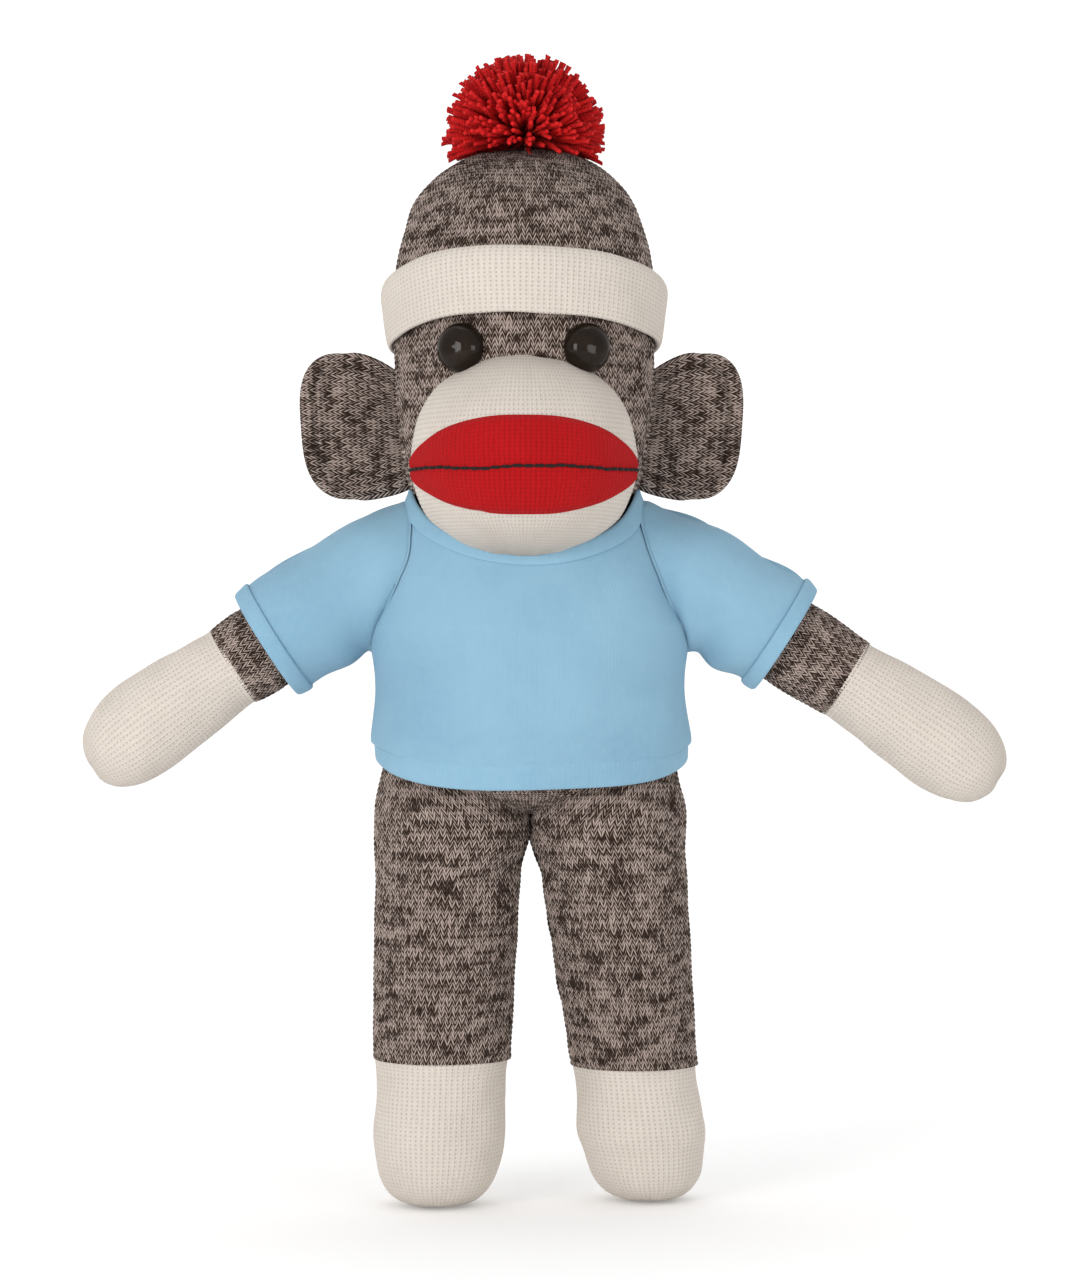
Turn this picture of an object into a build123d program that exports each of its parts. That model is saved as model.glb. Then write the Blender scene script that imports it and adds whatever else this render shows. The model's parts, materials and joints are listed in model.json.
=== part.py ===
"""A stuffed knitted monkey in a raglan shirt, built as a sewn toy: skins, stuffing, eyes, hat and shirt.

Units are millimetres. +Z is up, the face looks along -Y, and the origin is the middle of the
bounding box's underside, on the surface that both soles stand on. The doll's own right side is -X.
"""

import os
from math import cos, radians, sin, sqrt

from build123d import *

# Fabrics and gaps
KNIT = 1.2  # thickness of the knitted skins
JERSEY = 1.2  # thickness of the shirt's cloth
SHIRT_EASE = 0.5  # the shirt hangs this far off the torso skin
RUN_GAP = 0.4  # running clearance of a moving part in its socket
FAR = 400.0  # longer than any part, for cutting tools
CRUMB = 1.0  # a cut's solids under this many cubic millimetres are dropped

# The body's middle and the head's, which lean a little to the doll's right
BODY_X = -4.6
HEAD_X = -6.7

# Torso: an oval tube, stuffed
TORSO_HALF_WIDTH, TORSO_HALF_DEPTH = 53.6, 38.6
TORSO_BOTTOM_Z, TORSO_TOP_Z = 132.0, 249.0
HEM_FRONT_Z, HEM_SIDE_Z = 149.5, 156.5
HEM_BAND = 8.5
NECKLINE_FRONT_Z, NECKLINE_SIDE_Z, NECKLINE_BACK_Z = 224.0, 244.0, 235.0
SHOULDER_CREST = 8.0  # half the depth of the shoulder's level top
CHIN_SHELF = 17.0  # in front of the body's middle by more than this, the torso stays under the chin
NECKBAND = 5.0
BAND_PROUD = 0.5  # how far the hem and neck bands stand off the shirt

# Neck: a plug that turns in the torso and a ball on which the head nods
NECK_Z = 244.0
NECK_PLUG_R = 18.0
NECK_PLUG_BOTTOM_Z = 222.0
NECK_BALL_R = 15.0
NECK_PLUG_SHORT = 8.0  # the plug ends this far under the head
HEAD_NOD = 12.0  # degrees, the larger way, that the torso's top leaves room for

# Head outline, as (radius, height)
HEAD = [
    (0.0, 245.0),
    (22.0, 245.3),
    (34.0, 247.6),
    (40.2, 254.0),
    (43.2, 264.0),
    (45.4, 281.0),
    (46.0, 300.0),
    (45.4, 318.0),
    (43.6, 333.7),
    (41.2, 344.3),
    (37.0, 354.9),
    (30.0, 364.0),
    (18.0, 370.6),
    (0.0, 372.6),
]
HAT_CLOTH = 1.4
HAT_TILT = 10.0  # degrees, front edge up
CUFF_Z = 318.0  # middle of the cuff on the head's axis
CUFF_HEIGHT = 25.0
CUFF_TOP_R, CUFF_BOTTOM_R = 48.4, 49.7
CUFF_ROUND = 1.0

# Muzzle: an ellipsoid sewn to the face, clear of the chest
MUZZLE_FORWARD, MUZZLE_Z = 38.0, 265.2
MUZZLE_HALF = (40.2, 38.0, 35.8)
CHIN_R, CHIN_TOP_Z = 43.0, 254.0  # below this height the muzzle stays this far off the neck's axis
LIPS_Z = 261.5
LIPS_HALF_WIDTH, LIPS_HALF_HEIGHT = 38.4, 16.5
LIPS_CLOTH = 0.8
THREAD = 1.1  # the mouth line's thickness

# Eyes: domed buttons on a shank, held by a washer inside the head
EYE_R, EYE_HEIGHT = 8.0, 6.6
EYE_SPREAD, EYE_Z = 23.0, 302.0
SHANK_R, SHANK_LENGTH = 1.8, 12.0
WASHER_R, WASHER_T, WASHER_DEPTH = 7.0, 1.5, 5.0

# Ears: two knitted panels round a thin batting, on a rounded root
EAR_THICK = 5.4
EAR_WIDTH, EAR_HEIGHT, EAR_CORNER_R = 37.5, 50.0, 17.0
EAR_ROOT_LENGTH = 40.0
EAR_Z, EAR_LEAN = 277.0, 4.0  # middle of the root, and its lean in degrees
EAR_FORWARD = 2.0  # the root lies this far in front of the head's axis
EAR_RIM = 2.5

# Pom-pom on its thread knot
KNOT_R = 3.0
POMPOM_R = 27.0
POMPOM_TOP_Z = 406.0
POMPOM_LIFT = 2.2  # its cut underside is this far above the hat

# Arms
SHOULDER_OUT, SHOULDER_Z = 50.0, 226.0
SLEEVE_R, SLEEVE_END_R = 20.5, 19.5
SLEEVE_STRAIGHT = 12.0  # from the shoulder, before the sleeve tapers
SLEEVE_LINING_GAP = 0.1  # between the sleeve and the stuffed arm in it
CUFF_BAND = 9.0
CUFF_CLOTH = 1.8
UPPER_ARM_R, UPPER_ARM_END_R = 17.6, 16.4
UPPER_ARM_TAPER = (20.0, 34.0)  # from the shoulder, where it narrows
ELBOW_PAST_SLEEVE = 1.0  # the elbow bends this far outside the sleeve's mouth
UPPER_ARM_CUP = 6.0  # the stuffed upper arm ends this far short of the elbow
FOREARM_R, WRIST_R, HAND_R = 15.4, 15.0, 16.8
ARM_DROOP = 32.5  # degrees below level
TIP_START, TIP_R = 0.6, 0.84  # a hand or foot rounds off here, in shares of its radius
HAND_BULGE, FOOT_BULGE = 0.42, 0.45  # where each is widest, in shares of its length
ANKLE_BULGE = 6.0  # the foot is at its full radius this far below the ankle
SHIN = 0.75  # share of the leg, from the hip, where it reaches the ankle's radius
ARM_SWING = (-20.0, 60.0)  # degrees backward and forward that the torso leaves room for

# Legs
HIP_OUT, HIP_Z = 29.25, 121.0
THIGH_R = 24.0

# What differs between the two sides. side is -1 for the doll's right.
SIDES = {
    "right": {
        "side": -1,
        "sleeve": 50.8,
        "wrist": 63.5,
        "reach": 127.0,
        "leg_splay": 1.8,
        "leg_pitch": -2.0,
        "ankle_r": 23.3,
        "foot_r": 22.3,
        "ankle": 69.5,
        "leg": 123.4,
    },
    "left": {
        "side": 1,
        "sleeve": 47.3,
        "wrist": 71.7,
        "reach": 138.5,
        "leg_splay": 6.2,
        "leg_pitch": 4.0,
        "ankle_r": 21.6,
        "foot_r": 20.8,
        "ankle": 71.5,
        "leg": 124.4,
    },
}

# Places that follow from the sizes above
HEAD_TOP_Z = HEAD[-1][1]
HAT_TOP_Z = HEAD_TOP_Z + HAT_CLOTH
KNOT_Z = HAT_TOP_Z + RUN_GAP + KNOT_R
CUFF_REACH = CUFF_BOTTOM_R * cos(radians(HAT_TILT)) + CUFF_HEIGHT / 2 * sin(radians(HAT_TILT))
BODY_Y = (MUZZLE_FORWARD + MUZZLE_HALF[1] + LIPS_CLOTH + THREAD / 2 - CUFF_REACH) / 2


# Shape helpers


def without_crumbs(shape):
    """All the solids of a cut but its crumbs."""
    kept = [solid for solid in shape.solids() if solid.volume > CRUMB]
    return kept[0] if len(kept) == 1 else Compound(kept)


def above(height):
    return Pos(0, 0, height + FAR / 2) * Box(2 * FAR, 2 * FAR, FAR)


def below(height):
    return Pos(0, 0, height - FAR / 2) * Box(2 * FAR, 2 * FAR, FAR)


def in_front(y):
    return Pos(0, y - FAR / 2, 0) * Box(2 * FAR, FAR, 3 * FAR)


def rod(radius, length):
    """A cylinder that stands on height 0."""
    return Cylinder(radius, length, align=(Align.CENTER, Align.CENTER, Align.MIN))


def along(origin, direction):
    """Carries a shape made along +Z to an origin and direction."""
    return Plane(origin=origin, z_dir=direction).location


def lathe(edges):
    """A solid turned about Z from edges in the XZ plane that start and end on the axis."""
    return revolve(make_face(edges), axis=Axis.Z)


def smooth(points, start, end):
    """A curve through (radius, height) points with its end directions given."""
    return Spline([(r, 0, z) for r, z in points], tangents=[start, end], tangent_scalars=[1, 1])


def grown(curve, grow):
    """A curve that runs upward round a solid, moved outward by grow."""
    if not grow:
        return curve
    steps = 24
    points = []
    for i in range(steps + 1):
        at, way = curve @ (i / steps), curve % (i / steps)
        points.append((at.X + way.Z * grow, at.Z - way.X * grow))
    return smooth(points, curve % 0, curve % 1)


def turned(points, grow=0.0):
    """A closed form turned about Z, through points that start and end on the axis."""
    outline = grown(smooth(points, (1, 0, 0), (-1, 0, 0)), grow)
    return lathe([outline, Line(outline @ 1, outline @ 0)])


def quarter_arc(radius):
    """A ball's underside, from the axis out to its widest."""
    middle = radius * sqrt(0.5)
    return ThreePointArc((0, 0, -radius), (middle, 0, -middle), (radius, 0, 0))


def limb(root_r, points, end, grow=0.0):
    """A stuffed tube along +Z: a ball of root_r at the origin, through (radius, along), to a round end."""
    side = grown(smooth([(root_r, 0), *points, (0, end)], (0, 0, 1), (-1, 0, 0)), grow)
    return lathe([quarter_arc(root_r + grow), side, Line((0, 0, end + grow), (0, 0, -root_r - grow))])


def ellipsoid(half, centre):
    return Pos(*centre) * scale(Sphere(1.0), by=tuple(half))


# Places and directions


def arm_direction(one):
    return Vector(one["side"] * cos(radians(ARM_DROOP)), 0, -sin(radians(ARM_DROOP)))


def shoulder(one):
    return Vector(BODY_X + one["side"] * SHOULDER_OUT, BODY_Y, SHOULDER_Z)


def swing_axis(one):
    """Square to the arm and to the doll's depth. A positive turn brings the arm forward."""
    return arm_direction(one).cross(Vector(0, -1, 0))


def elbow(one):
    return shoulder(one) + arm_direction(one) * (one["sleeve"] + ELBOW_PAST_SLEEVE)


def hip(one):
    return Vector(BODY_X + one["side"] * HIP_OUT, BODY_Y, HIP_Z)


def leg_direction(one):
    splay, pitch = radians(one["leg_splay"]), radians(one["leg_pitch"])
    return Vector(one["side"] * sin(splay), sin(pitch), -cos(splay)).normalized()


def head_radius_at(height):
    """The head's outer radius between two of its outline's points."""
    for (r0, z0), (r1, z1) in zip(HEAD, HEAD[1:]):
        if z0 <= height <= z1:
            return r0 + (r1 - r0) * (height - z0) / (z1 - z0)
    raise ValueError("that height isn't on the head")


def ear_axis(one):
    lean = radians(EAR_LEAN)
    return Vector(one["side"] * sin(lean), 0, cos(lean))


def ear_root(one):
    out = head_radius_at(EAR_Z) + EAR_THICK / 2 + RUN_GAP
    return Vector(HEAD_X + one["side"] * out, BODY_Y - EAR_FORWARD, EAR_Z)


# Head


def head_solid(grow=0.0):
    """The head's outer form under the hat, grown by grow all over."""
    return Pos(HEAD_X, BODY_Y, 0) * turned(HEAD, grow)


def head_room():
    """What the nodding head's underside sweeps at every turn of the neck."""
    nod = radians(HEAD_NOD)
    side = [(r, z) for r, z in HEAD if r and z <= EAR_Z + EAR_HEIGHT / 2]
    swung = [
        (r * cos(nod) + (z - NECK_Z) * sin(nod), NECK_Z - r * sin(nod) + (z - NECK_Z) * cos(nod))
        for r, z in side
    ]
    gap = RUN_GAP + HAT_CLOTH
    base = HEAD[0][1] - gap
    outline = [(0, base)] + [(r + gap, z - gap) for r, z in swung]
    top = outline[-1][1]
    wire = Polyline([(r, 0, z) for r, z in outline] + [(0, 0, top)], close=True)
    return Pos(HEAD_X, BODY_Y, 0) * lathe([wire])


def tilted(shape):
    """Tips a shape made round the head's axis at height 0 back with the hat, at the cuff's height."""
    return Pos(HEAD_X, BODY_Y, CUFF_Z) * Rot(-HAT_TILT, 0, 0) * shape


def muzzle_solid(grow=0.0):
    return ellipsoid([h + grow for h in MUZZLE_HALF], (HEAD_X, BODY_Y - MUZZLE_FORWARD, MUZZLE_Z))


def face_slab(outline, z):
    """A prism through the front of the muzzle with an outline drawn in X and Z."""
    plane = Plane(origin=(HEAD_X, BODY_Y - MUZZLE_FORWARD, z), x_dir=(1, 0, 0), z_dir=(0, -1, 0))
    return extrude(plane * outline, FAR / 4)


def eye_frame(one):
    """Location on the face at an eye, with +Z outward."""
    across = EYE_SPREAD / head_radius_at(EYE_Z)
    outward = Vector(one["side"] * across, -sqrt(1 - across**2), 0)
    return along(Vector(HEAD_X, BODY_Y, EYE_Z) + outward * head_radius_at(EYE_Z), outward)


def eye(one):
    crown = smooth([(EYE_R, 0), (EYE_R * 0.8, EYE_HEIGHT * 0.66), (0, EYE_HEIGHT)], (0, 0, 1), (-1, 0, 0))
    dome = lathe([Line((0, 0, 0), (EYE_R, 0, 0)), crown, Line((0, 0, EYE_HEIGHT), (0, 0, 0))])
    return eye_frame(one) * (dome + Pos(0, 0, -SHANK_LENGTH) * rod(SHANK_R, SHANK_LENGTH))


def washer(one):
    ring = Cylinder(WASHER_R, WASHER_T) - Cylinder(SHANK_R, 2 * WASHER_T)
    return eye_frame(one) * Pos(0, 0, -WASHER_DEPTH) * ring


def build_hat(head):
    crown = (head_solid(HAT_CLOTH) - head) & tilted(above(0))
    half = CUFF_HEIGHT / 2
    ring = lathe(
        [Polyline((0, 0, -half), (CUFF_BOTTOM_R, 0, -half), (CUFF_TOP_R, 0, half), (0, 0, half), close=True)]
    )
    ring = fillet(ring.edges().filter_by(GeomType.CIRCLE), CUFF_ROUND)
    return {"hat_crown": crown, "hat_cuff": tilted(ring) - head - crown}


def build_head():
    outer, inner = head_solid(), head_solid(-KNIT)
    socket = Pos(HEAD_X, BODY_Y, NECK_Z) * Sphere(NECK_BALL_R + RUN_GAP)
    chin_room = Pos(HEAD_X, BODY_Y, 0) * rod(CHIN_R, CHIN_TOP_Z)
    shanks = [eye(one) for one in SIDES.values()]
    washers = [washer(one) for one in SIDES.values()]
    skin, stuffing = outer - inner - socket, inner - socket
    muzzle_outer = muzzle_solid() - outer - chin_room
    muzzle_inner = muzzle_solid(-KNIT) - outer - chin_room
    muzzle_skin = muzzle_outer - muzzle_inner
    for cut in shanks:
        skin, stuffing = skin - cut, stuffing - cut
        muzzle_skin, muzzle_inner = muzzle_skin - cut, muzzle_inner - cut
    for cut in washers:
        stuffing = stuffing - cut
    lips_shell = muzzle_solid(LIPS_CLOTH) - muzzle_solid()
    lips = (lips_shell & face_slab(Ellipse(LIPS_HALF_WIDTH, LIPS_HALF_HEIGHT), LIPS_Z)) - outer
    thread_shell = muzzle_solid(LIPS_CLOTH + THREAD / 2) - muzzle_solid(LIPS_CLOTH)
    thread = (thread_shell & face_slab(Rectangle(2 * LIPS_HALF_WIDTH, THREAD), LIPS_Z)) - outer
    parts = {
        "head_skin": skin,
        "head_stuffing": stuffing,
        "muzzle_skin": muzzle_skin,
        "muzzle_stuffing": muzzle_inner,
        "lips": lips,
        "mouth_thread": thread,
        **build_hat(outer),
    }
    for name, one in SIDES.items():
        parts[f"{name}_eye"] = eye(one)
        parts[f"{name}_eye_washer"] = washer(one)
    return parts


# Ears


def ear_outline(inset):
    """An ear's flat outline in X and Z, root on X = 0, outward along +X."""
    lobe = Pos(EAR_WIDTH / 2, 0) * RectangleRounded(
        EAR_WIDTH - 2 * inset, EAR_HEIGHT - 2 * inset, EAR_CORNER_R - inset
    )
    tab = Pos(EAR_WIDTH / 4 + inset / 2, 0) * Rectangle(
        EAR_WIDTH / 2 - inset, EAR_ROOT_LENGTH - 2 * inset
    )
    return lobe + tab


def build_ear(name, one):
    upright = Plane(origin=(0, 0, 0), x_dir=(1, 0, 0), z_dir=(0, -1, 0))
    half = EAR_THICK / 2
    whole = extrude(upright * ear_outline(0.0), half, both=True) + Cylinder(half, EAR_ROOT_LENGTH)
    batting = extrude(upright * ear_outline(EAR_RIM), half - KNIT, both=True)
    toward_face = Pos(0, -one["side"] * FAR / 2, 0) * Box(FAR, FAR, FAR)
    outward = Vector(0, 1, 0).cross(ear_axis(one)) * one["side"]
    place = Plane(origin=ear_root(one), x_dir=outward, z_dir=ear_axis(one)).location
    panels = whole - batting
    return {
        f"{name}_ear_front": place * (panels & toward_face),
        f"{name}_ear_back": place * (panels - toward_face),
        f"{name}_ear_batting": place * batting,
    }


# Torso, shirt and neck


def torso_solid(grow=0.0):
    """The torso's outer form, grown by grow all over."""
    oval = Ellipse(TORSO_HALF_WIDTH + grow, TORSO_HALF_DEPTH + grow)
    height = TORSO_TOP_Z - TORSO_BOTTOM_Z + 2 * grow
    return Pos(BODY_X, BODY_Y, TORSO_BOTTOM_Z - grow) * extrude(oval, height)


def arm_room(one):
    """What the sleeve sweeps as it swings: a ball, a tube at each limit and a wedge between them."""
    at, axis, out, forward = shoulder(one), swing_axis(one), arm_direction(one), Vector(0, -1, 0)
    radius = SLEEVE_R + RUN_GAP
    ends = [out * cos(radians(a)) + forward * sin(radians(a)) for a in ARM_SWING]
    tubes = [along(at, end) * rod(radius, FAR / 4) for end in ends]
    plane = Plane(origin=at, x_dir=out, z_dir=axis)
    corners = [(FAR / 4 * cos(radians(a)), FAR / 4 * sin(radians(a))) for a in ARM_SWING]
    fan = make_face(Polyline([(0, 0), corners[0], (FAR / 4, 0), corners[1]], close=True))
    return [Pos(*at) * Sphere(radius), *tubes, extrude(plane * fan, radius, both=True)]


def leg_room():
    """The balls of both hips, and the lap that both thighs swing forward under."""
    balls = [Pos(*hip(one)) * Sphere(THIGH_R + RUN_GAP) for one in SIDES.values()]
    lap = in_front(BODY_Y) & below(HIP_Z + THIGH_R + RUN_GAP)
    return [*balls, lap]


def side_profile(points):
    """A prism along X from points given as (Y from the body's axis, Z)."""
    wire = Polyline([(0, BODY_Y + y, z) for y, z in points], close=True)
    return Pos(-FAR / 2, 0, 0) * extrude(make_face(wire), FAR, dir=(1, 0, 0))


def over_neckline(drop):
    """Everything above the neckline, lowered by drop. It leaves room for the chin and the nape."""
    line = [
        (-FAR / 4, NECKLINE_FRONT_Z),
        (-CHIN_SHELF, NECKLINE_FRONT_Z),
        (-SHOULDER_CREST, NECKLINE_SIDE_Z),
        (SHOULDER_CREST, NECKLINE_SIDE_Z),
        (CHIN_SHELF, NECKLINE_BACK_Z),
        (FAR / 4, NECKLINE_BACK_Z),
    ]
    return side_profile([(y, z - drop) for y, z in line] + [(FAR / 4, FAR), (-FAR / 4, FAR)])


def under_hem(rise):
    """Everything below the hem line, which dips in front, raised by rise."""
    depth = TORSO_HALF_DEPTH
    line = [(-FAR / 4, HEM_FRONT_Z), (-depth, HEM_FRONT_Z), (0, HEM_SIDE_Z), (FAR / 4, HEM_SIDE_Z)]
    return side_profile([(y, z + rise) for y, z in line] + [(FAR / 4, -FAR), (-FAR / 4, -FAR)])


def build_torso():
    outer, inner = torso_solid(), torso_solid(-KNIT)
    bore_z = NECK_PLUG_BOTTOM_Z - RUN_GAP
    bore = Pos(HEAD_X, BODY_Y, bore_z) * rod(NECK_PLUG_R + RUN_GAP, FAR / 4)
    room = [head_room(), over_neckline(0.0), *leg_room()]
    for one in SIDES.values():
        room += arm_room(one)
    ease = torso_solid(SHIRT_EASE)
    cloth = torso_solid(SHIRT_EASE + JERSEY) - ease
    proud = torso_solid(SHIRT_EASE + JERSEY + BAND_PROUD) - ease
    parts = {
        "torso_skin": outer - inner,
        "torso_stuffing": inner,
        "shirt_front": (cloth - under_hem(HEM_BAND) - over_neckline(NECKBAND)) & in_front(BODY_Y),
        "shirt_back": cloth - under_hem(HEM_BAND) - over_neckline(NECKBAND) - in_front(BODY_Y),
        "shirt_hem": (proud & under_hem(HEM_BAND)) - under_hem(0.0),
        "shirt_neckband_front": proud & over_neckline(NECKBAND) & in_front(BODY_Y),
        "shirt_neckband_back": (proud & over_neckline(NECKBAND)) - in_front(BODY_Y),
    }
    for node in parts:
        cuts = [*room, bore] if node.startswith("torso") else room
        for cut in cuts:
            parts[node] = parts[node] - cut
    return parts


def build_neck():
    length = HEAD[0][1] - NECK_PLUG_SHORT - NECK_PLUG_BOTTOM_Z
    plug = Pos(0, 0, NECK_PLUG_BOTTOM_Z) * rod(NECK_PLUG_R, length)
    core = Pos(0, 0, NECK_PLUG_BOTTOM_Z) * rod(NECK_PLUG_R - KNIT, length)
    ball = Pos(0, 0, NECK_Z) * Sphere(NECK_BALL_R)
    place = Pos(HEAD_X, BODY_Y, 0)
    return {"neck_skin": place * (plug - core), "neck_stuffing": place * (core + ball)}


# Pom-pom


def build_pompom():
    knot = Sphere(KNOT_R)
    rise = POMPOM_TOP_Z - POMPOM_R - KNOT_Z
    ball = Pos(0, 0, rise) * Sphere(POMPOM_R) & above(HAT_TOP_Z + POMPOM_LIFT - KNOT_Z)
    place = Pos(HEAD_X, BODY_Y, KNOT_Z)
    return {"pompom_tie": place * knot, "pompom_yarn": place * (ball - knot)}


# Limbs


def build_sleeve(one):
    """The sleeve and its cuff band along +Z, on a ball at the shoulder."""
    end = one["sleeve"]
    band_from = end - CUFF_BAND

    def tube(grow, stop):
        top, mouth = SLEEVE_R + grow, SLEEVE_END_R + grow
        side = smooth([(top, 0), (top, SLEEVE_STRAIGHT), (mouth, stop)], (0, 0, 1), (0, 0, 1))
        lid = Line((mouth, 0, stop), (0, 0, stop))
        return lathe([quarter_arc(top), side, lid, Line((0, 0, stop), (0, 0, -top))])

    cloth = tube(0.0, end) - tube(-JERSEY, end + JERSEY)
    band = rod(SLEEVE_END_R + BAND_PROUD, CUFF_BAND) - rod(SLEEVE_END_R - CUFF_CLOTH, CUFF_BAND)
    band = Pos(0, 0, band_from) * band
    return cloth - above(band_from), band


def build_arm(name, one):
    to_shoulder = along(shoulder(one), arm_direction(one))
    to_elbow = along(elbow(one), arm_direction(one))
    elbow_at = one["sleeve"] + ELBOW_PAST_SLEEVE
    sleeve, band = build_sleeve(one)
    taper_start, taper_end = UPPER_ARM_TAPER
    arm_points = [(UPPER_ARM_R, taper_start), (UPPER_ARM_END_R, taper_end), (UPPER_ARM_END_R, elbow_at)]
    elbow_room = Pos(0, 0, elbow_at) * Sphere(FOREARM_R + RUN_GAP) + above(elbow_at - UPPER_ARM_CUP)
    root_r = SLEEVE_R - JERSEY - SLEEVE_LINING_GAP
    arm_outer = limb(root_r, arm_points, elbow_at + FOREARM_R)
    arm_inner = limb(root_r, arm_points, elbow_at + FOREARM_R, -KNIT)
    wrist, reach = one["wrist"] - elbow_at, one["reach"] - elbow_at
    fore_points = [
        (FOREARM_R, wrist / 2),
        (WRIST_R, wrist),
        (HAND_R, wrist + (reach - wrist) * HAND_BULGE),
        (HAND_R * TIP_R, reach - HAND_R * TIP_START),
    ]
    fore_outer = limb(FOREARM_R, fore_points, reach)
    fore_inner = limb(FOREARM_R, fore_points, reach, -KNIT)
    fore_skin = fore_outer - fore_inner
    return {
        f"{name}_sleeve": to_shoulder * sleeve,
        f"{name}_sleeve_cuff": to_shoulder * band,
        f"{name}_upper_arm_skin": to_shoulder * (arm_outer - arm_inner - elbow_room),
        f"{name}_upper_arm_stuffing": to_shoulder * (arm_inner - elbow_room),
        f"{name}_forearm_skin": to_elbow * (fore_skin & below(wrist)),
        f"{name}_hand_skin": to_elbow * (fore_skin & above(wrist)),
        f"{name}_forearm_stuffing": to_elbow * fore_inner,
    }


def build_leg(name, one):
    to_hip = along(hip(one), leg_direction(one))
    ankle, end, foot_r = one["ankle"], one["leg"], one["foot_r"]
    points = [
        (one["ankle_r"], ankle * SHIN),
        (foot_r, ankle + ANKLE_BULGE),
        (foot_r, ankle + (end - ankle) * FOOT_BULGE),
        (foot_r * TIP_R, end - foot_r * TIP_START),
    ]
    outer = to_hip * limb(THIGH_R, points, end) - below(0.0)
    inner = to_hip * limb(THIGH_R, points, end, -KNIT) - below(KNIT)
    skin = outer - inner
    foot_side = to_hip * above(ankle)
    return {
        f"{name}_leg_skin": skin - foot_side,
        f"{name}_foot_skin": skin & foot_side,
        f"{name}_leg_stuffing": inner,
    }


def main():
    os.makedirs("parts", exist_ok=True)
    parts = {**build_torso(), **build_neck(), **build_head(), **build_pompom()}
    for name, one in SIDES.items():
        parts.update(build_ear(name, one))
        parts.update(build_arm(name, one))
        parts.update(build_leg(name, one))
    for node, shape in parts.items():
        export_step(without_crumbs(shape), f"parts/{node}.step")


if __name__ == "__main__":
    main()
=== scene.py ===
"""Stuffed knitted monkey: looks for the CAD frame. Worked out in millimetres, built in metres."""

import json
import math

import bpy
import numpy as np
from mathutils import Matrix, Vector


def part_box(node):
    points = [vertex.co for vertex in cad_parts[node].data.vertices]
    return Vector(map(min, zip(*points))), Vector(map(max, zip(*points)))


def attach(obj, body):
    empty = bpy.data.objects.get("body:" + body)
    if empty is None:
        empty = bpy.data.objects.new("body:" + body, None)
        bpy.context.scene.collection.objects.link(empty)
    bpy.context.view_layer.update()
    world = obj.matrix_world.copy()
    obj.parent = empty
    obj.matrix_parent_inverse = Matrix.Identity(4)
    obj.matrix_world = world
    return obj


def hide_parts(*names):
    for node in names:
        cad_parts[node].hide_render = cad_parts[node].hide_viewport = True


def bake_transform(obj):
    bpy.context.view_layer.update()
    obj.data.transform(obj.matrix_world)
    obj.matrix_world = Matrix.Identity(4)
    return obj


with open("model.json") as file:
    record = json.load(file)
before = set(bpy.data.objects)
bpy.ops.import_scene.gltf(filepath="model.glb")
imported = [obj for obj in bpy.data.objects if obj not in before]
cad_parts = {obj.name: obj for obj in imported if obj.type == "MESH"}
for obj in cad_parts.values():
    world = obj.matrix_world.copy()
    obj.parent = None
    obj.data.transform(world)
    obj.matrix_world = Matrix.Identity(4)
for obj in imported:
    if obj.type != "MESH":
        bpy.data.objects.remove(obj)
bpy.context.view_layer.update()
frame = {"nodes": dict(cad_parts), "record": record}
record = frame["record"]
rng = np.random.default_rng(7)

MM = 0.001
WALE, COURSE = 2.5, 1.9  # the marled knit's stitch, across and along
FINE_WALE, FINE_COURSE = 2.0, 1.5  # the cream and red knit's stitch
KNIT_RELIEF, FINE_RELIEF = 0.42, 0.14
LEG_SLOPE = 1.5  # courses that a stitch's leg climbs across half a wale
LEG_ROUND = 2.2  # how flat a leg's top is across the yarn
PER_WALE, PER_COURSE = 4, 3  # mesh columns and rows in a stitch
CURVE_STEPS, CURVE_POINTS = 24, 300  # points between two given ones, and in a whole outline
TAU = 2 * math.pi


# Places from the frame


def joint_at(name):
    joint = next(j for j in record["behaviour"]["joints"] if j["name"] == name)
    return np.array(joint["pos_m"]) / MM


def mount_at(name):
    mount = next(m for m in record["mounts"] if m["name"] == name)
    return np.array(mount["pos_m"]) / MM


def box(node):
    low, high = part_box(node)
    return np.array(low) / MM, np.array(high) / MM


NECK = joint_at("neck_turn")
HIPS = {s: joint_at(f"{s}_hip_swing") for s in ("right", "left")}
BODY = (HIPS["right"] + HIPS["left"]) / 2
SIDE = {"right": -1, "left": 1}
SHOULDERS = {s: joint_at(f"{s}_shoulder_swing") for s in SIDE}
ELBOWS = {s: joint_at(f"{s}_elbow_raise") for s in SIDE}
BACK = np.array([0, 1.0, 0])  # towards the doll's back
HEAD_LOW, HEAD_HIGH = box("head_skin")
HEAD_R = (HEAD_HIGH[0] - HEAD_LOW[0]) / 2


# Mesh helpers


def unit(v):
    return v / np.maximum(np.linalg.norm(v, axis=-1, keepdims=True), 1e-9)


def smooth01(x):
    x = np.clip(x, 0, 1)
    return x * x * (3 - 2 * x)


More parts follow.
